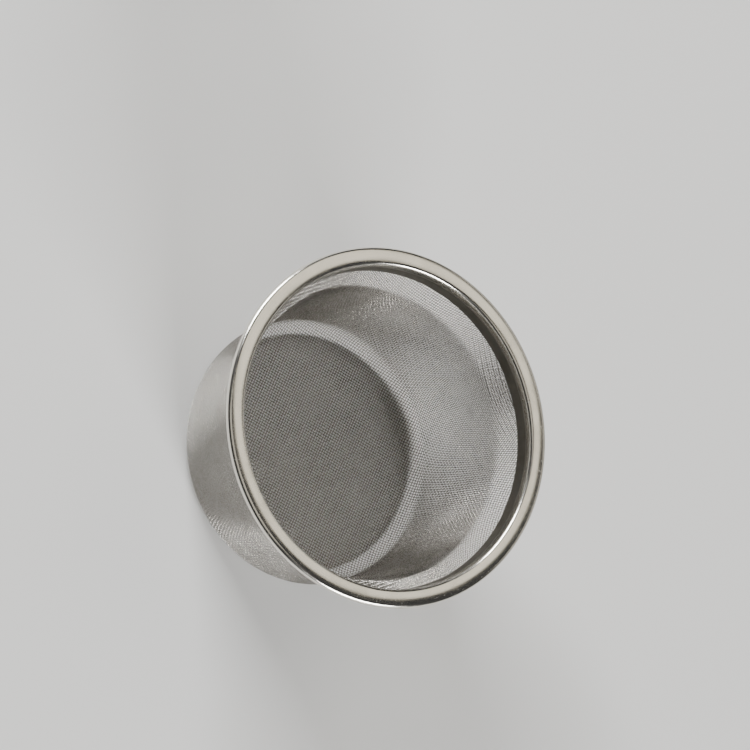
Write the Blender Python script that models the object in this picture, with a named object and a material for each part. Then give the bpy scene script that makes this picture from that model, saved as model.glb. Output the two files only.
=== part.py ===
"""Teapot infuser: a deep-drawn cup of woven steel wire cloth, hung from a rolled steel rim.

The cup stands on the XY plane with its axis on +Z. Every piece is turned about that axis, so
each one is described by a section of (radius, height) points and then spun.
"""

import math

import bmesh
import bpy

# Overall size, in metres.
HEIGHT = 0.0425
RIM_RADIUS = 0.040
SEGMENTS = 72

# Sheet and cloth.
SHEET = 0.0005
CLOTH = 0.0005
GAP = 0.0003

# Rim: a crowned face with a rolled inner edge, and an outer edge folded under it.
FOLD_RADIUS = 0.0010
INNER_ROLL = 0.0009
CROWN_TILT = math.radians(10.0)
THROAT_RADIUS = 0.03585
SEAT_WIDTH = 0.0010

# Collar: the short, slightly tapered wall that hangs from the rim's inner edge.
COLLAR_RADIUS = 0.0355
COLLAR_DEPTH = 0.0053

# Cup: the cloth leaves the collar, narrows through a sloping neck and drops to a rounded base.
WALL_LEAN = math.radians(4.7)
NECK_RISE = math.radians(55.0)
NECK_TURN = 0.0008
DRAW_RADIUS = 0.0030
WALL_TOP_RADIUS = 0.0330
CORNER_RADIUS = 0.00375
FLANGE_TOP = 0.0019

# Clamp band: the outer hoop that presses the cloth against the collar.
BAND_TOP = 0.0023
BAND_BOTTOM = 0.0052

COLLAR_DRAFT = math.atan2(THROAT_RADIUS - COLLAR_RADIUS, COLLAR_DEPTH - INNER_ROLL)


def arc(centre, radius, start, end, steps):
    """Points on an arc in the section plane, from one angle in degrees to another."""
    angles = [math.radians(start + (end - start) * i / steps) for i in range(steps + 1)]
    return [(centre[0] + radius * math.cos(a), centre[1] + radius * math.sin(a)) for a in angles]


def along(point, direction, distance):
    """The point a distance away in a direction given as an angle in radians."""
    return (point[0] + distance * math.cos(direction), point[1] + distance * math.sin(direction))


def beside(path, distance):
    """The path moved sideways, to its left for a positive distance."""
    moved = []
    for i, (r, z) in enumerate(path):
        before = path[max(i - 1, 0)]
        after = path[min(i + 1, len(path) - 1)]
        length = math.hypot(after[0] - before[0], after[1] - before[1])
        side_r = -(after[1] - before[1]) / length
        side_z = (after[0] - before[0]) / length
        moved.append((r + distance * side_r, z + distance * side_z))
    return moved


def collar_face(depth, outward):
    """A point a depth below the rim's top, a distance outward of the collar's inner face."""
    radius = COLLAR_RADIUS + (COLLAR_DEPTH - depth) * math.tan(COLLAR_DRAFT)
    return (radius + outward / math.cos(COLLAR_DRAFT), HEIGHT - depth)


def crown(start, end, steps):
    """Points between two ends of the rim's face, on a low arch that leaves each end at the crown tilt."""
    half = (end[0] - start[0]) / 2
    rise = half * math.tan(CROWN_TILT) / 2
    points = []
    for i in range(1, steps):
        across = 2 * i / steps - 1
        level = start[1] + (end[1] - start[1]) * i / steps
        points.append((start[0] + half * (1 + across), level + rise * (1 - across**2)))
    return points


def rim_section():
    """The rim's sheet, followed clockwise: over the face, round the fold, under it and down the collar."""
    roll_centre = (THROAT_RADIUS + INNER_ROLL, HEIGHT - INNER_ROLL)
    fold_centre = (RIM_RADIUS - FOLD_RADIUS, HEIGHT - FOLD_RADIUS)
    tilt = math.degrees(CROWN_TILT)
    roll = arc(roll_centre, INNER_ROLL, 180, 90 + tilt, 5)
    fold = arc(fold_centre, FOLD_RADIUS, 90 - tilt, -90, 10)
    seat_end = fold_centre[0] - SEAT_WIDTH
    seat = [(seat_end, HEIGHT - 2 * FOLD_RADIUS), (seat_end, HEIGHT - 2 * FOLD_RADIUS + SHEET)]
    fold_inside = arc(fold_centre, FOLD_RADIUS - SHEET, -90, 90 - tilt, 6)
    roll_inside = arc(roll_centre, INNER_ROLL - SHEET, 90 + tilt, 180, 3)
    collar_foot = [collar_face(COLLAR_DEPTH, SHEET), collar_face(COLLAR_DEPTH, 0)]
    face = crown(roll[-1], fold[0], 4)
    face_under = crown(roll_inside[0], fold_inside[-1], 4)[::-1]
    return roll + face + fold + seat + fold_inside + face_under + roll_inside + collar_foot


def cloth_path():
    """The middle of the cloth, from the flange's top edge down to the centre of the base."""
    to_cloth = SHEET + GAP + CLOTH / 2
    flange_foot = collar_face(COLLAR_DEPTH, to_cloth)
    draft = math.degrees(COLLAR_DRAFT)
    rise = math.degrees(NECK_RISE)
    lean = math.degrees(WALL_LEAN)
    turn_centre = along(flange_foot, math.pi - COLLAR_DRAFT, NECK_TURN)
    turn = arc(turn_centre, NECK_TURN, -draft, rise - 90, 4)
    inset = DRAW_RADIUS * (math.cos(WALL_LEAN) - math.sin(NECK_RISE))
    neck = (turn[-1][0] - inset - WALL_TOP_RADIUS) / math.cos(NECK_RISE)
    neck_end = along(turn[-1], math.pi + NECK_RISE, neck)
    draw_centre = along(neck_end, NECK_RISE - math.pi / 2, DRAW_RADIUS)
    draw = arc(draw_centre, DRAW_RADIUS, 90 + rise, 180 - lean, 5)
    drop = draw[-1][1] - CLOTH / 2 - CORNER_RADIUS * (1 - math.sin(WALL_LEAN))
    corner_top = (draw[-1][0] - drop * math.tan(WALL_LEAN), draw[-1][1] - drop)
    corner_centre = along(corner_top, math.pi - WALL_LEAN, CORNER_RADIUS)
    corner = arc(corner_centre, CORNER_RADIUS, -lean, -90, 7)
    flange_top = collar_face(FLANGE_TOP, to_cloth)
    return [flange_top] + turn + draw + corner + [(0.0, CLOTH / 2)]


def cup_section():
    """The cloth's two faces, up the inside and down the outside, open only on the axis."""
    path = cloth_path()
    outside = beside(path, CLOTH / 2)
    inside = beside(path, -CLOTH / 2)
    return inside[::-1] + outside


def band_section():
    """The clamp band, a flat hoop at the collar's own taper."""
    inner = SHEET + 2 * GAP + CLOTH
    outer = inner + SHEET
    return [
        collar_face(BAND_TOP, inner),
        collar_face(BAND_TOP, outer),
        collar_face(BAND_BOTTOM, outer),
        collar_face(BAND_BOTTOM, inner),
    ]


def steel(name, colour, roughness):
    """A bare steel material."""
    material = bpy.data.materials.new(name)
    material.use_nodes = True
    shader = material.node_tree.nodes["Principled BSDF"]
    shader.inputs["Base Color"].default_value = (*colour, 1.0)
    shader.inputs["Metallic"].default_value = 1.0
    shader.inputs["Roughness"].default_value = roughness
    return material


def turned(name, section, closed, material):
    """An object made by spinning a section about the Z axis."""
    mesh = bpy.data.meshes.new(name)
    bm = bmesh.new()
    points = [bm.verts.new((r, 0.0, z)) for r, z in section]
    edges = [bm.edges.new(pair) for pair in zip(points, points[1:])]
    if closed:
        edges.append(bm.edges.new((points[-1], points[0])))
    bmesh.ops.spin(
        bm,
        geom=points + edges,
        cent=(0.0, 0.0, 0.0),
        axis=(0.0, 0.0, 1.0),
        angle=2 * math.pi,
        steps=SEGMENTS,
        use_merge=True,
    )
    bmesh.ops.remove_doubles(bm, verts=bm.verts, dist=1e-6)
    bmesh.ops.recalc_face_normals(bm, faces=bm.faces)
    bm.to_mesh(mesh)
    bm.free()
    mesh.shade_smooth()
    mesh.set_sharp_from_angle(angle=math.radians(40))
    mesh.materials.append(material)
    piece = bpy.data.objects.new(name, mesh)
    bpy.context.scene.collection.objects.link(piece)
    return piece


def main():
    for old in list(bpy.data.objects):
        bpy.data.objects.remove(old)
    turned("rim_ring", rim_section(), True, steel("rim_steel", (0.72, 0.70, 0.65), 0.22))
    turned("mesh_cup", cup_section(), False, steel("wire_cloth", (0.55, 0.53, 0.50), 0.38))
    turned("clamp_band", band_section(), True, steel("band_steel", (0.62, 0.62, 0.61), 0.35))


main()
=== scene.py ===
"""The looks of the teapot infuser: polished steel rim, welded band, and a cup woven wire by wire.

Everything is in metres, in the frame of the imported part: the cup stands on the XY plane with its
axis on +Z. The rim and the band are the part's own sections, turned finely. The cup is a square
net of wires, laid flat over the base and then drawn down over the wall as real wire cloth is.
"""

import math

import bpy
import numpy as np
from mathutils import Matrix, Vector

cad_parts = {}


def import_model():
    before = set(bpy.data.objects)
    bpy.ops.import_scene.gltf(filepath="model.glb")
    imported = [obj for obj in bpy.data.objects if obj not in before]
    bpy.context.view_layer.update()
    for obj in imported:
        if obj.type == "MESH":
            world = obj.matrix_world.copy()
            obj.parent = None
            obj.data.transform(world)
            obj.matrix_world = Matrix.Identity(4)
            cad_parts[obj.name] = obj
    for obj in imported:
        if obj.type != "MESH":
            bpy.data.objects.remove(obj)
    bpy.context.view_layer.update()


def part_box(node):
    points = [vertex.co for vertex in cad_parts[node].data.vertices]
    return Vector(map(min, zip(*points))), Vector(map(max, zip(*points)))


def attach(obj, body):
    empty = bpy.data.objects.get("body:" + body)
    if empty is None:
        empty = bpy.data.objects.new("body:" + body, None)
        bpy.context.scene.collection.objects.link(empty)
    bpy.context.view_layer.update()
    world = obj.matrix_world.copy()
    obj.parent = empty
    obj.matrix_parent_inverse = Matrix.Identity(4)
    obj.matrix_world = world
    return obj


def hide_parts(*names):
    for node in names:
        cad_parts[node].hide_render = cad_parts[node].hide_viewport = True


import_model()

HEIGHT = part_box("rim_ring")[1].z
RIM_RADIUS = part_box("rim_ring")[1].x

# Sheet and cloth, as in the part.
SHEET = 0.0005
CLOTH = 0.0005
GAP = 0.0003

# Rim and collar. The crowned face rises about 0.1 mm above RIM_TOP. The polish ends RIM_FACE_DEPTH
# below RIM_TOP and fades out over FACE_FADE. Below that the collar is rougher, and its colour is
# painted shade, darkened for the shadow under the rolled lip.
FOLD_RADIUS = 0.0010
INNER_ROLL = 0.0009
CROWN_TILT = math.radians(10.0)
THROAT_RADIUS = 0.03585
SEAT_WIDTH = 0.0010
COLLAR_RADIUS = 0.0355
COLLAR_DEPTH = 0.0053
COLLAR_DRAFT = math.atan2(THROAT_RADIUS - COLLAR_RADIUS, COLLAR_DEPTH - INNER_ROLL)
RIM_TOP = 0.0425
RIM_FACE_DEPTH = 0.0016
FACE_FADE = 0.0008
RIM_SEGMENTS = 720

# Cup.
WALL_LEAN = math.radians(4.7)
NECK_RISE = math.radians(55.0)
NECK_TURN = 0.0008
DRAW_RADIUS = 0.0030
WALL_TOP_RADIUS = 0.0330
CORNER_RADIUS = 0.00375
FLANGE_DEPTH = 0.0035

# Clamp band.
BAND_TOP = 0.0023
BAND_BOTTOM = 0.0052
BAND_EDGE = 0.00012
BAND_SEGMENTS = 900
BAND_RADIUS = COLLAR_RADIUS + SHEET * 2 + GAP * 2 + CLOTH
BAND_MIDDLE = RIM_TOP - (BAND_TOP + BAND_BOTTOM) / 2

# Spot welds through the band and the collar, and the rim's waviness. The lip round each pit has its
# height as a share of the pit's depth, and its place and width in weld radii.
WELD_COUNT = 12
WELD_RADIUS = 0.00085
WELD_PIT = 0.00014
WELD_LIP = 0.35
LIP_PLACE = 1.5
LIP_WIDTH = 0.35
COLLAR_MARK = 0.00005
RIM_WAVE = 0.000018

# Wire cloth: 40 wires to the inch each way. CRIMP is how far a wire's middle stands off the cloth's
# own at a crossing. Beside a crossing the two wires still cut into each other a little.
PITCH = 0.0254 / 40
WIRE_RADIUS = 0.00011
CRIMP = 0.000115
WIRE_SIDES = 5
WEAVE_TURN = math.radians(45.0)
PIECES_PER_WAY = 5
NET_BEYOND = 0.012
WANDER_SEED = 7

# How the cloth gives as it is drawn off the flat base. Real cloth keeps its length along its wires,
# so it shears: between the two ways it grows taller, and its crossings crowd together round the
# cup. This comes near that: nine in ten spacings along a wire stay within a tenth of PITCH.
FLAT_RADIUS = 0.027
DRAWN_WIDTH = 0.041
BIAS_STRETCH = 0.0123
STRETCH_POWER = 1.52
BIAS_CROWD = math.radians(9.6)
CROWD_POWER = 1.15

# The cloth's own unevenness. The wall ripples between two distances from the centre of the base.
WIRE_WANDER = 0.000010
BASE_DOME = 0.00035
WALL_RIPPLE = 0.00012
RIPPLE_START = 0.034
RIPPLE_END = 0.062
RIPPLE_FADE = 0.008
DENT_REACH = 0.0545
DENT_ANGLE = math.radians(84.0)
DENT_RADIUS = 0.0016
DENT_DEPTH = 0.00045


# ---------------------------------------------------------------- sections


def arc(centre, radius, start, end, steps):
    """Points on an arc in the section plane, from one angle in degrees to another."""
    angles = [math.radians(start + (end - start) * i / steps) for i in range(steps + 1)]
    return [(centre[0] + radius * math.cos(a), centre[1] + radius * math.sin(a)) for a in angles]


def along(point, direction, distance):
    """The point a distance away in a direction given as an angle in radians."""
    return (point[0] + distance * math.cos(direction), point[1] + distance * math.sin(direction))


def collar_face(depth, outward):
    """A point a depth below the rim's top, a distance outward of the collar's inner face."""
    radius = COLLAR_RADIUS + (COLLAR_DEPTH - depth) * math.tan(COLLAR_DRAFT)
    return (radius + outward / math.cos(COLLAR_DRAFT), RIM_TOP - depth)


def straight(start, end, steps):
    """Points strictly between two ends."""
    return [
        (
            start[0] + (end[0] - start[0]) * i / steps,
            start[1] + (end[1] - start[1]) * i / steps,
        )
        for i in range(1, steps)
    ]


def crown(start, end, steps):
    """Points between two ends of the rim's face, on a low arch that leaves each end at the crown tilt."""
    half = (end[0] - start[0]) / 2
    rise = half * math.tan(CROWN_TILT) / 2
    points = []
    for i in range(1, steps):
        across = 2 * i / steps - 1
        level = start[1] + (end[1] - start[1]) * i / steps
        points.append((start[0] + half * (1 + across), level + rise * (1 - across**2)))
    return points


def rim_section():
    """The rim's sheet, followed clockwise: over the face, round the fold, under it and down the collar."""
    roll_centre = (THROAT_RADIUS + INNER_ROLL, RIM_TOP - INNER_ROLL)
    fold_centre = (RIM_RADIUS - FOLD_RADIUS, RIM_TOP - FOLD_RADIUS)
    tilt = math.degrees(CROWN_TILT)
    roll = arc(roll_centre, INNER_ROLL, 180, 90 + tilt, 16)
    fold = arc(fold_centre, FOLD_RADIUS, 90 - tilt, -90, 24)
    seat_end = fold_centre[0] - SEAT_WIDTH
    seat_low = (seat_end, RIM_TOP - 2 * FOLD_RADIUS)
    seat_high = (seat_end, RIM_TOP - 2 * FOLD_RADIUS + SHEET)
    fold_inside = arc(fold_centre, FOLD_RADIUS - SHEET, -90, 90 - tilt, 12)
    roll_inside = arc(roll_centre, INNER_ROLL - SHEET, 90 + tilt, 180, 8)
    foot_outer = collar_face(COLLAR_DEPTH, SHEET)
    foot_inner = collar_face(COLLAR_DEPTH, 0)
    face = crown(roll[-1], fold[0], 14)
    face_under = crown(roll_inside[0], fold_inside[-1], 8)[::-1]
    outer_drop = straight(roll_inside[-1], foot_outer, 6)
    inner_rise = straight(foot_inner, roll[0], 20)
    section = roll + face + fold + [seat_low, seat_high] + fold_inside + face_under
    return section + roll_inside + outer_drop + [foot_outer, foot_inner] + inner_rise


def band_section():
    """The clamp band: a flat hoop at the collar's own taper, its edges just broken."""
    inner = SHEET + 2 * GAP + CLOTH
    outer = inner + SHEET
    edge = BAND_EDGE
    top = [
        collar_face(BAND_TOP + edge, inner),
        collar_face(BAND_TOP, inner + edge),
        collar_face(BAND_TOP, outer - edge),
        collar_face(BAND_TOP + edge, outer),
    ]
    bottom = [
        collar_face(BAND_BOTTOM - edge, outer),
        collar_face(BAND_BOTTOM, outer - edge),
        collar_face(BAND_BOTTOM, inner + edge),
        collar_face(BAND_BOTTOM - edge, inner),
    ]
    return top + straight(top[-1], bottom[0], 10) + bottom


def cloth_path():
    """The middle of the cloth, from inside the clamp down to the centre of the base."""
    to_cloth = SHEET + GAP + CLOTH / 2
    flange_foot = collar_face(COLLAR_DEPTH, to_cloth)
    draft = math.degrees(COLLAR_DRAFT)
    rise = math.degrees(NECK_RISE)
    lean = math.degrees(WALL_LEAN)
    turn_centre = along(flange_foot, math.pi - COLLAR_DRAFT, NECK_TURN)
    turn = arc(turn_centre, NECK_TURN, -draft, rise - 90, 12)
    inset = DRAW_RADIUS * (math.cos(WALL_LEAN) - math.sin(NECK_RISE))
    neck = (turn[-1][0] - inset - WALL_TOP_RADIUS) / math.cos(NECK_RISE)
    neck_end = along(turn[-1], math.pi + NECK_RISE, neck)
    draw_centre = along(neck_end, NECK_RISE - math.pi / 2, DRAW_RADIUS)
    draw = arc(draw_centre, DRAW_RADIUS, 90 + rise, 180 - lean, 16)
    drop = draw[-1][1] - CLOTH / 2 - CORNER_RADIUS * (1 - math.sin(WALL_LEAN))
    corner_top = (draw[-1][0] - drop * math.tan(WALL_LEAN), draw[-1][1] - drop)
    corner_centre = along(corner_top, math.pi - WALL_LEAN, CORNER_RADIUS)
    corner = arc(corner_centre, CORNER_RADIUS, -lean, -90, 24)
    return [collar_face(FLANGE_DEPTH, to_cloth)] + turn + draw + corner + [(0.0, CLOTH / 2)]


# ---------------------------------------------------------------- meshes


def piece(name, points, faces, material, node):
    """A smooth mesh object that stands for a node of the part."""
    mesh = bpy.data.meshes.new(name)
    mesh.from_pydata(points, [], faces)
    mesh.shade_smooth()
    mesh.materials.append(material)
    made = bpy.data.objects.new(name, mesh)
    bpy.context.scene.collection.objects.link(made)
    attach(made, "root")
    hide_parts(node)


def from_weld(angle, radius, height):
    """The distance along the band from a point to the middle of the nearest spot weld."""
    step = 2 * np.pi / WELD_COUNT
    around = (angle + step / 2) % step - step / 2
    return np.hypot(around * radius, height - BAND_MIDDLE)


def rim_shift(radius, height, angle):
    """The rim's slight waviness from stamping, and the spot welds' marks inside the collar."""
    wave = RIM_WAVE * (np.sin(3 * angle + 0.7) + 0.6 * np.sin(5 * angle + 2.1) + 0.35 * np.sin(11 * angle))
    inside = radius < COLLAR_RADIUS + SHEET * 0.9
    mark = COLLAR_MARK * np.exp(-((from_weld(angle, radius, height) / WELD_RADIUS) ** 2))
    return radius + 0.5 * wave + np.where(inside, mark, 0.0), height + wave - RIM_WAVE


def band_shift(radius, height, angle):
    """The pits that the electrodes leave in the band's outer face, each with a low rim of metal round it."""
    away = from_weld(angle, radius, height) / WELD_RADIUS
    lip = WELD_LIP * np.exp(-(((away - LIP_PLACE) / LIP_WIDTH) ** 2))
    pit = WELD_PIT * (np.exp(-(away**2)) - lip)
    outside = radius > BAND_RADIUS - SHEET * 0.6
    return radius - np.where(outside, pit, 0.0), height


def turned(section, segments, shift):
    """Points and faces of a closed section turned about Z. shift moves each point's radius and height."""
    angles = np.arange(segments) * 2 * np.pi / segments
    radius, height = np.array(section).T
    angle, radius = np.meshgrid(angles, radius, indexing="ij")
    height = np.broadcast_to(height, radius.shape)
    radius, height = shift(radius, height, angle)
    points = np.stack([radius * np.cos(angle), radius * np.sin(angle), height], axis=-1)
    count = len(section)
    turn, step = np.meshgrid(np.arange(segments), np.arange(count), indexing="ij")
    next_turn = (turn + 1) % segments
    next_step = (step + 1) % count
    faces = np.stack(
        [
            turn * count + step,
            turn * count + next_step,
            next_turn * count + next_step,
            next_turn * count + step,
        ],
        axis=-1,
    )
    return points.reshape(-1, 3).tolist(), faces.reshape(-1, 4).tolist()


# ---------------------------------------------------------------- cloth


class Drawn:
    """The cup's middle surface, by the distance along it from the centre of the base."""

    def __init__(self, path, beyond):
        points = np.array(path[::-1])
        last = points[-1] - points[-2]
        points = np.vstack([points, points[-1] + last / np.hypot(*last) * beyond])
        steps = np.hypot(*np.diff(points, axis=0).T)
        reach = np.concatenate([[0.0], np.cumsum(steps)])
        self.end = reach[-2]
        self.reach = np.linspace(0.0, reach[-1], 6000)
        self.radius = np.interp(self.reach, reach, points[:, 0])
        self.height = np.interp(self.reach, reach, points[:, 1])
        self.out = np.gradient(self.radius, self.reach)
        self.up = np.gradient(self.height, self.reach)

    def points(self, reach, angle):
        radius = np.interp(reach, self.reach, self.radius)
        height = np.interp(reach, self.reach, self.height)
        return np.stack([radius * np.cos(angle), radius * np.sin(angle), height], axis=-1)

    def slope(self, reach):
        return np.interp(reach, self.reach, self.out), np.interp(reach, self.reach, self.up)


def drawn_net(surface, random):
    """Reach and angle of every crossing: a flat square net, laid on the base and drawn down the wall."""
    count = int(surface.end / PITCH) + 1
    wires = np.arange(-count, count + 1)
    across = wires * PITCH + random.normal(0.0, WIRE_WANDER, len(wires))
    deep = wires * PITCH + random.normal(0.0, WIRE_WANDER, len(wires))
    across, deep = np.meshgrid(across, deep, indexing="ij")
    flat = np.hypot(across, deep)
    angle = np.arctan2(deep, across)
    drawn = np.maximum(flat - FLAT_RADIUS, 0.0) / DRAWN_WIDTH
    stretch = BIAS_STRETCH * drawn**STRETCH_POWER * (1 - np.cos(4 * angle)) / 2
    crowd = BIAS_CROWD * drawn**CROWD_POWER * np.sin(4 * angle)
    return flat + stretch, angle + crowd + WEAVE_TURN


def unevenness(reach, angle):
    """How far the cloth stands off its true surface, inward and up."""
    dome = BASE_DOME * np.clip(1 - (reach / FLAT_RADIUS) ** 2, 0.0, 1.0)
    wall = np.clip((reach - RIPPLE_START) / RIPPLE_FADE, 0.0, 1.0)
    wall *= np.clip((RIPPLE_END - reach) / RIPPLE_FADE, 0.0, 1.0)
    ripple = np.sin(5 * angle + 1.0)
    ripple += 0.6 * np.sin(11 * angle + reach * 180.0)
    ripple += 0.4 * np.sin(17 * angle - reach * 260.0)
    around = (angle - DENT_ANGLE) * WALL_TOP_RADIUS
    from_dent = np.hypot(around, reach - DENT_REACH)
    dent = DENT_DEPTH * np.exp(-((from_dent / DENT_RADIUS) ** 2))
    return dome + WALL_RIPPLE * ripple * wall + dent


def tube(centres, normals):
    """Points and faces of a tube along a wire, with WIRE_SIDES sides and open ends."""
    ahead = np.gradient(centres, axis=0)
    ahead /= np.linalg.norm(ahead, axis=1)[:, None]
    side = np.cross(ahead, normals)
    side /= np.linalg.norm(side, axis=1)[:, None]
    rise = np.cross(side, ahead)
    turns = np.arange(WIRE_SIDES) * 2 * np.pi / WIRE_SIDES
    ring = np.cos(turns)[None, :, None] * side[:, None, :] + np.sin(turns)[None, :, None] * rise[:, None, :]
    points = centres[:, None, :] + WIRE_RADIUS * ring
    count = len(centres)
    step, turn = np.meshgrid(np.arange(count - 1), np.arange(WIRE_SIDES), indexing="ij")
    next_turn = (turn + 1) % WIRE_SIDES
    faces = np.stack(
        [
            step * WIRE_SIDES + turn,
            (step + 1) * WIRE_SIDES + turn,
            (step + 1) * WIRE_SIDES + next_turn,
            step * WIRE_SIDES + next_turn,
        ],
        axis=-1,
    )
    return points.reshape(-1, 3), faces.reshape(-1, 4)


def woven(surface, reach, angle, way):
    """The tubes of one way's wires, each over and under the other way's."""
    out, up = surface.slope(reach)
    normal = np.stack([-up * np.cos(angle), -up * np.sin(angle), out], axis=-1)
    at = surface.points(reach, angle) + unevenness(reach, angle)[..., None] * normal
    i, j = np.indices(reach.shape)
    over = np.where((i + j) % 2 == way, 1.0, -1.0)
    if way == 1:
        at, normal, over = (np.swapaxes(a, 0, 1) for a in (at, normal, over))
        reach = reach.T
    wires = []
    for row in range(len(reach)):
        held = np.flatnonzero(reach[row] <= surface.end)
        if len(held) < 4:
            continue
        nodes = at[row, held] + CRIMP * over[row, held, None] * normal[row, held]
        middles = (at[row, held[:-1]] + at[row, held[1:]]) / 2
        centres = np.empty((2 * len(held) - 1, 3))
        centres[0::2] = nodes
        centres[1::2] = middles
        normals = np.empty_like(centres)
        normals[0::2] = normal[row, held]
        normals[1::2] = normal[row, held[:-1]] + normal[row, held[1:]]
        wires.append(tube(centres, normals))
    return wires


def joined(wires):
    """One list of points and one of faces from many tubes, with their ends closed."""
    points = []
    faces = []
    start = 0
    for wire_points, wire_faces in wires:
        points.append(wire_points)
        faces += (wire_faces + start).tolist()
        faces.append([start + turn for turn in range(WIRE_SIDES)])
        end = start + len(wire_points)
        faces.append([end - 1 - turn for turn in range(WIRE_SIDES)])
        start = end
    return np.concatenate(points).tolist(), faces


def cup(material):
    """The woven cup, each way's wires shared out between a few pieces."""
    surface = Drawn(cloth_path(), NET_BEYOND)
    reach, angle = drawn_net(surface, np.random.default_rng(WANDER_SEED))
    for way, name in ((0, "warp_wires"), (1, "weft_wires")):
        wires = woven(surface, reach, angle, way)
        sizes = np.cumsum([len(points) for points, _ in wires])
        share = sizes * PIECES_PER_WAY / (sizes[-1] + 1)
        group = np.minimum(share.astype(int), PIECES_PER_WAY - 1)
        for part in range(PIECES_PER_WAY):
            chosen = [wires[k] for k in np.flatnonzero(group == part)]
            points, faces = joined(chosen)
            piece(f"{name}_{part + 1}", points, faces, material, "mesh_cup")


# ---------------------------------------------------------------- materials


class Nodes:
    """A steel material's node tree, built one named step at a time."""

    def __init__(self, name):
        self.material = bpy.data.materials.new(name)
        self.material.use_nodes = True
        self.tree = self.material.node_tree
        self.shader = self.tree.nodes["Principled BSDF"]
        self.place = self.tree.nodes.new("ShaderNodeTexCoord").outputs["Object"]

    def put(self, value, socket):
        """Links an output to a socket, or sets the socket to a number or a vector."""
        if isinstance(value, bpy.types.NodeSocket):
            self.tree.links.new(value, socket)
        else:
            socket.default_value = value

    def math(self, operation, first, second=0.0):
        node = self.tree.nodes.new("ShaderNodeMath")
        node.operation = operation
        for value, socket in zip((first, second), node.inputs):
            self.put(value, socket)
        return node.outputs[0]

    def vector(self, operation, first, second=(0.0, 0.0, 0.0)):
        node = self.tree.nodes.new("ShaderNodeVectorMath")
        node.operation = operation
        self.put(first, node.inputs[0])
        self.put(second, node.inputs[1])
        return node.outputs["Vector"]

    def split(self, vector):
        node = self.tree.nodes.new("ShaderNodeSeparateXYZ")
        self.put(vector, node.inputs[0])
        return node.outputs

    def noise(self, vector, scale, detail, roughness, extra=None):
        """Smooth noise from 0 to 1, in four dimensions where there is an extra one."""
        node = self.tree.nodes.new("ShaderNodeTexNoise")
        node.noise_dimensions = "3D" if extra is None else "4D"
        self.put(vector, node.inputs["Vector"])
        if extra is not None:
            self.put(extra, node.inputs["W"])
        node.inputs["Scale"].default_value = scale
        node.inputs["Detail"].default_value = detail
        node.inputs["Roughness"].default_value = roughness
        return node.outputs["Fac"]

    def spread(self, value, low, high, to_low=0.0, to_high=1.0):
        """The value stretched from one range to another, and held inside it."""
        node = self.tree.nodes.new("ShaderNodeMapRange")
        self.put(value, node.inputs["Value"])
        node.inputs["From Min"].default_value = low
        node.inputs["From Max"].default_value = high
        node.inputs["To Min"].default_value = to_low
        node.inputs["To Max"].default_value = to_high
        return node.outputs["Result"]

    def blend(self, factor, first, second):
        """One colour turning into another."""
        node = self.tree.nodes.new("ShaderNodeMix")
        node.data_type = "RGBA"
        self.put(factor, node.inputs["Factor"])
        for value, socket in ((first, node.inputs[6]), (second, node.inputs[7])):
            self.put(value if isinstance(value, bpy.types.NodeSocket) else (*value, 1.0), socket)
        return node.outputs[2]

    def bump(self, height, distance):
        node = self.tree.nodes.new("ShaderNodeBump")
        node.inputs["Strength"].default_value = 1.0
        node.inputs["Distance"].default_value = distance
        self.put(height, node.inputs["Height"])
        self.put(node.outputs["Normal"], self.shader.inputs["Normal"])

    def finish(self, colour, roughness):
        self.put(colour, self.shader.inputs["Base Color"])
        self.put(roughness, self.shader.inputs["Roughness"])
        self.shader.inputs["Metallic"].default_value = 1.0
        return self.material


def turning_marks(nodes, across, around):
    """Fine circular brush marks about Z: noise that changes quickly across them and slowly along them."""
    x, y, z = nodes.split(nodes.place)
    squares = nodes.math("ADD", nodes.math("MULTIPLY", x, x), nodes.math("MULTIPLY", y, y))
    radius = nodes.math("SQRT", squares)
    flat = nodes.vector("MULTIPLY", nodes.place, (1.0, 1.0, 0.0))
    slow = nodes.vector("SCALE", nodes.vector("NORMALIZE", flat))
    slow.node.inputs["Scale"].default_value = around
    outward = nodes.math("MULTIPLY", radius, across)
    upward = nodes.math("MULTIPLY", z, across * 0.83)
    return nodes.noise(slow, 1.0, 3.0, 0.6, nodes.math("ADD", outward, upward))


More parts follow.
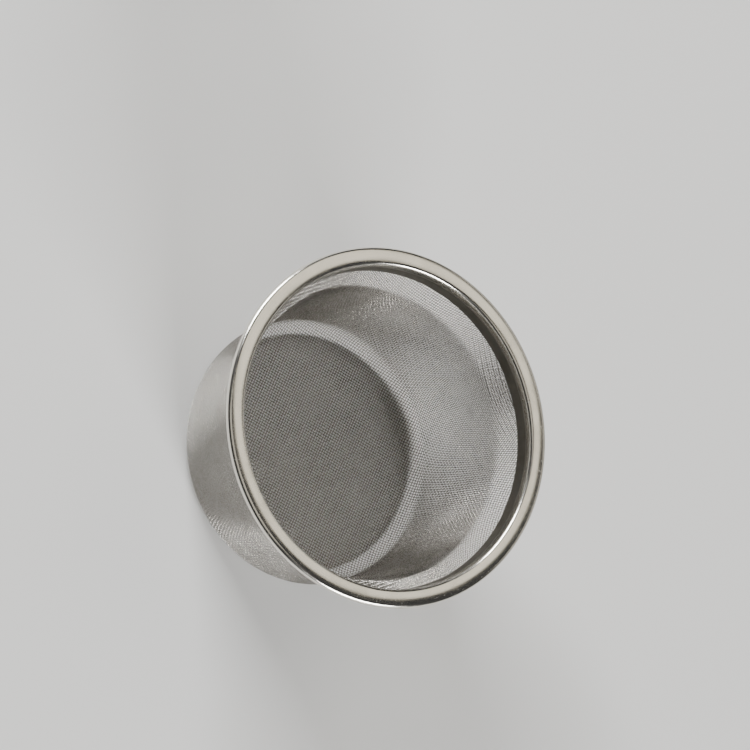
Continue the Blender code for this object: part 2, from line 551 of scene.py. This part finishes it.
def polished_steel():
    """The rim: a bright face with faint circular marks and smudges, and under it a rougher collar, darkened
    as painted shade.
    """
    bright, warm, brushed = (0.790, 0.765, 0.700), (0.740, 0.712, 0.640), (0.700, 0.680, 0.630)
    # The collar's two colours, far darker than the steel itself, are painted shade under the rolled lip.
    collar_shade_grey, collar_shade_drab = (0.240, 0.232, 0.205), (0.180, 0.172, 0.145)
    nodes = Nodes("rim_steel")
    marks = turning_marks(nodes, 9000.0, 5.0)
    broad = turning_marks(nodes, 1500.0, 2.5)
    smudge = nodes.noise(nodes.place, 160.0, 3.0, 0.55)
    pits = nodes.noise(nodes.place, 2600.0, 2.0, 0.5)
    height = nodes.split(nodes.place)[2]
    face_foot = RIM_TOP - RIM_FACE_DEPTH
    # Below the face this mask brings in both the collar's painted shade and its real, rougher finish.
    collar = nodes.spread(height, face_foot, face_foot - FACE_FADE)
    face = nodes.blend(nodes.spread(smudge, 0.35, 0.7), bright, warm)
    face = nodes.blend(nodes.spread(broad, 0.35, 0.65, 0.0, 0.5), face, brushed)
    # The collar's colour: painted shade under the rolled lip, mottled by the smudges.
    darkened = nodes.blend(nodes.spread(smudge, 0.4, 0.65), collar_shade_grey, collar_shade_drab)
    colour = nodes.blend(collar, face, darkened)
    smeared = nodes.spread(smudge, 0.45, 0.75, 0.0, 0.07)
    polish = nodes.math("ADD", nodes.spread(marks, 0.3, 0.7, 0.13, 0.20), smeared)
    polish = nodes.math("ADD", polish, nodes.spread(pits, 0.66, 0.74, 0.0, 0.12))
    roughness = nodes.math("ADD", polish, nodes.math("MULTIPLY", collar, 0.22))
    nodes.bump(nodes.math("ADD", marks, nodes.math("MULTIPLY", pits, 0.3)), 0.0000012)
    return nodes.finish(colour, roughness)


def weld_distance(nodes):
    """How far each point of the band lies from the middle of the nearest spot weld."""
    x, y, z = nodes.split(nodes.place)
    step = 2 * math.pi / WELD_COUNT
    around = nodes.math("DIVIDE", nodes.math("ARCTAN2", y, x), step)
    off_weld = nodes.math("MULTIPLY", nodes.math("PINGPONG", around, 0.5), step * BAND_RADIUS)
    off_middle = nodes.math("SUBTRACT", z, BAND_MIDDLE)
    sideways = nodes.math("MULTIPLY", off_weld, off_weld)
    upright = nodes.math("MULTIPLY", off_middle, off_middle)
    return nodes.math("SQRT", nodes.math("ADD", sideways, upright))


def welded_steel():
    """The band: brushed strip, tinted straw and blue where each spot weld heated it."""
    light, dark, brushed = (0.560, 0.555, 0.535), (0.440, 0.432, 0.405), (0.640, 0.635, 0.620)
    straw, blue, weld = (0.470, 0.370, 0.210), (0.200, 0.210, 0.270), (0.330, 0.320, 0.310)
    nodes = Nodes("band_steel")
    marks = turning_marks(nodes, 6500.0, 7.0)
    smudge = nodes.noise(nodes.place, 210.0, 3.0, 0.6)
    fine = nodes.noise(nodes.place, 3000.0, 2.0, 0.5)
    away = nodes.math("ADD", weld_distance(nodes), nodes.spread(smudge, 0.3, 0.7, -0.0003, 0.0003))
    colour = nodes.blend(nodes.spread(smudge, 0.35, 0.7), light, dark)
    colour = nodes.blend(nodes.spread(marks, 0.35, 0.65, 0.0, 0.45), colour, brushed)
    colour = nodes.blend(nodes.spread(away, 0.0022, 0.0014), colour, straw)
    colour = nodes.blend(nodes.spread(away, 0.0014, 0.0010), colour, blue)
    colour = nodes.blend(nodes.spread(away, 0.0009, 0.0006), colour, weld)
    scaled = nodes.spread(away, 0.0016, 0.0008, 0.0, 0.14)
    roughness = nodes.math("ADD", nodes.spread(marks, 0.3, 0.7, 0.27, 0.42), scaled)
    roughness = nodes.math("ADD", roughness, nodes.spread(smudge, 0.5, 0.75, 0.0, 0.08))
    nodes.bump(nodes.math("ADD", marks, nodes.math("MULTIPLY", fine, 0.4)), 0.0000035)
    return nodes.finish(colour, roughness)


def wire_steel():
    """The wires: satin steel darker than clean stainless, with faint patches of tea film and dull specks."""
    light, dark = (0.420, 0.404, 0.378), (0.370, 0.354, 0.328)
    filmed, speck = (0.330, 0.308, 0.272), (0.230, 0.218, 0.200)
    nodes = Nodes("wire_cloth")
    film = nodes.noise(nodes.place, 75.0, 3.0, 0.55)
    patch = nodes.noise(nodes.place, 420.0, 2.0, 0.5)
    grain = nodes.noise(nodes.place, 5200.0, 2.0, 0.6)
    colour = nodes.blend(nodes.spread(patch, 0.3, 0.7), light, dark)
    colour = nodes.blend(nodes.spread(film, 0.4, 0.8, 0.0, 0.3), colour, filmed)
    colour = nodes.blend(nodes.spread(grain, 0.58, 0.72, 0.0, 0.5), colour, speck)
    filmy = nodes.spread(film, 0.4, 0.8, 0.0, 0.05)
    roughness = nodes.math("ADD", nodes.spread(grain, 0.3, 0.7, 0.18, 0.32), filmy)
    nodes.bump(grain, 0.000003)
    return nodes.finish(colour, roughness)


# ---------------------------------------------------------------- stage


def floor():
    """A plain pale floor at the foot of the cup."""
    mesh = bpy.data.meshes.new("floor")
    half = 3.0
    corners = [(-half, -half, 0), (half, -half, 0), (half, half, 0), (-half, half, 0)]
    mesh.from_pydata(corners, [], [(0, 1, 2, 3)])
    material = bpy.data.materials.new("floor")
    material.use_nodes = True
    shader = material.node_tree.nodes["Principled BSDF"]
    shader.inputs["Base Color"].default_value = (0.78, 0.78, 0.77, 1.0)
    shader.inputs["Roughness"].default_value = 0.7
    mesh.materials.append(material)
    made = bpy.data.objects.new("floor", mesh)
    bpy.context.scene.collection.objects.link(made)


def softbox(name, azimuth, elevation, distance, size, power, colour=(1.0, 1.0, 1.0)):
    """An area light aimed at the cup. Azimuth is from +Y, the far side, towards +X."""
    light = bpy.data.lights.new(name, "AREA")
    light.shape = "RECTANGLE"
    light.size, light.size_y = size
    light.energy = power
    light.color = colour
    made = bpy.data.objects.new(name, light)
    bpy.context.scene.collection.objects.link(made)
    a = math.radians(azimuth)
    e = math.radians(elevation)
    toward = Vector((math.sin(a) * math.cos(e), math.cos(a) * math.cos(e), math.sin(e)))
    made.location = Vector((0.0, 0.0, HEIGHT / 2)) + distance * toward
    made.rotation_euler = toward.to_track_quat("Z", "Y").to_euler()


def world(colour, strength, seen):
    """Dim surroundings for the steel to reflect, with a paler backdrop where the background is in view."""
    made = bpy.data.worlds.new("studio")
    made.use_nodes = True
    tree = made.node_tree
    background = tree.nodes["Background"]
    background.inputs["Color"].default_value = (*colour, 1.0)
    path = tree.nodes.new("ShaderNodeLightPath")
    level = tree.nodes.new("ShaderNodeMapRange")
    level.inputs["To Min"].default_value = strength
    level.inputs["To Max"].default_value = seen
    tree.links.new(path.outputs["Is Camera Ray"], level.inputs["Value"])
    tree.links.new(level.outputs["Result"], background.inputs["Strength"])
    bpy.context.scene.world = made


CAMERA_TILT = math.radians(30.97)
CAMERA_ROLL = math.radians(71.79)
RIM_CENTRE = Vector((0.0, 0.0, 0.042064))
RIM_IN_VIEW = Vector((0.00360, -0.01114, -0.65642))
LENS = 144.0


def camera():
    """Looks down at the cup from the photograph's angle, with the far side to the right of the picture."""
    data = bpy.data.cameras.new("camera")
    data.lens = LENS
    data.sensor_width = 36.0
    data.clip_start = 0.01
    made = bpy.data.objects.new("camera", data)
    bpy.context.scene.collection.objects.link(made)
    turn = Matrix.Rotation(CAMERA_TILT, 4, "X") @ Matrix.Rotation(CAMERA_ROLL, 4, "Z")
    made.matrix_world = Matrix.Translation(RIM_CENTRE - turn.to_3x3() @ RIM_IN_VIEW) @ turn
    bpy.context.scene.camera = made


# ---------------------------------------------------------------- build

camera()
floor()
world((0.97, 0.975, 1.0), 0.05, 0.75)
softbox("face", -25, 60, 0.9, (0.62, 0.50), 1.25, (1.0, 0.935, 0.80))
softbox("top", 180, 70, 0.95, (0.8, 0.6), 0.95, (1.0, 0.945, 0.84))
softbox("far_card", 8, 28, 1.0, (1.0, 0.30), 0.8, (1.0, 0.96, 0.88))
softbox("left_key", -92, 26, 1.7, (0.8, 0.40), 48.0)
softbox("right_key", 97, 24, 1.7, (0.8, 0.35), 36.0)

rim_points, rim_faces = turned(rim_section(), RIM_SEGMENTS, rim_shift)
piece("rim", rim_points, rim_faces, polished_steel(), "rim_ring")
band_points, band_faces = turned(band_section(), BAND_SEGMENTS, band_shift)
piece("band", band_points, band_faces, welded_steel(), "clamp_band")
cup(wire_steel())
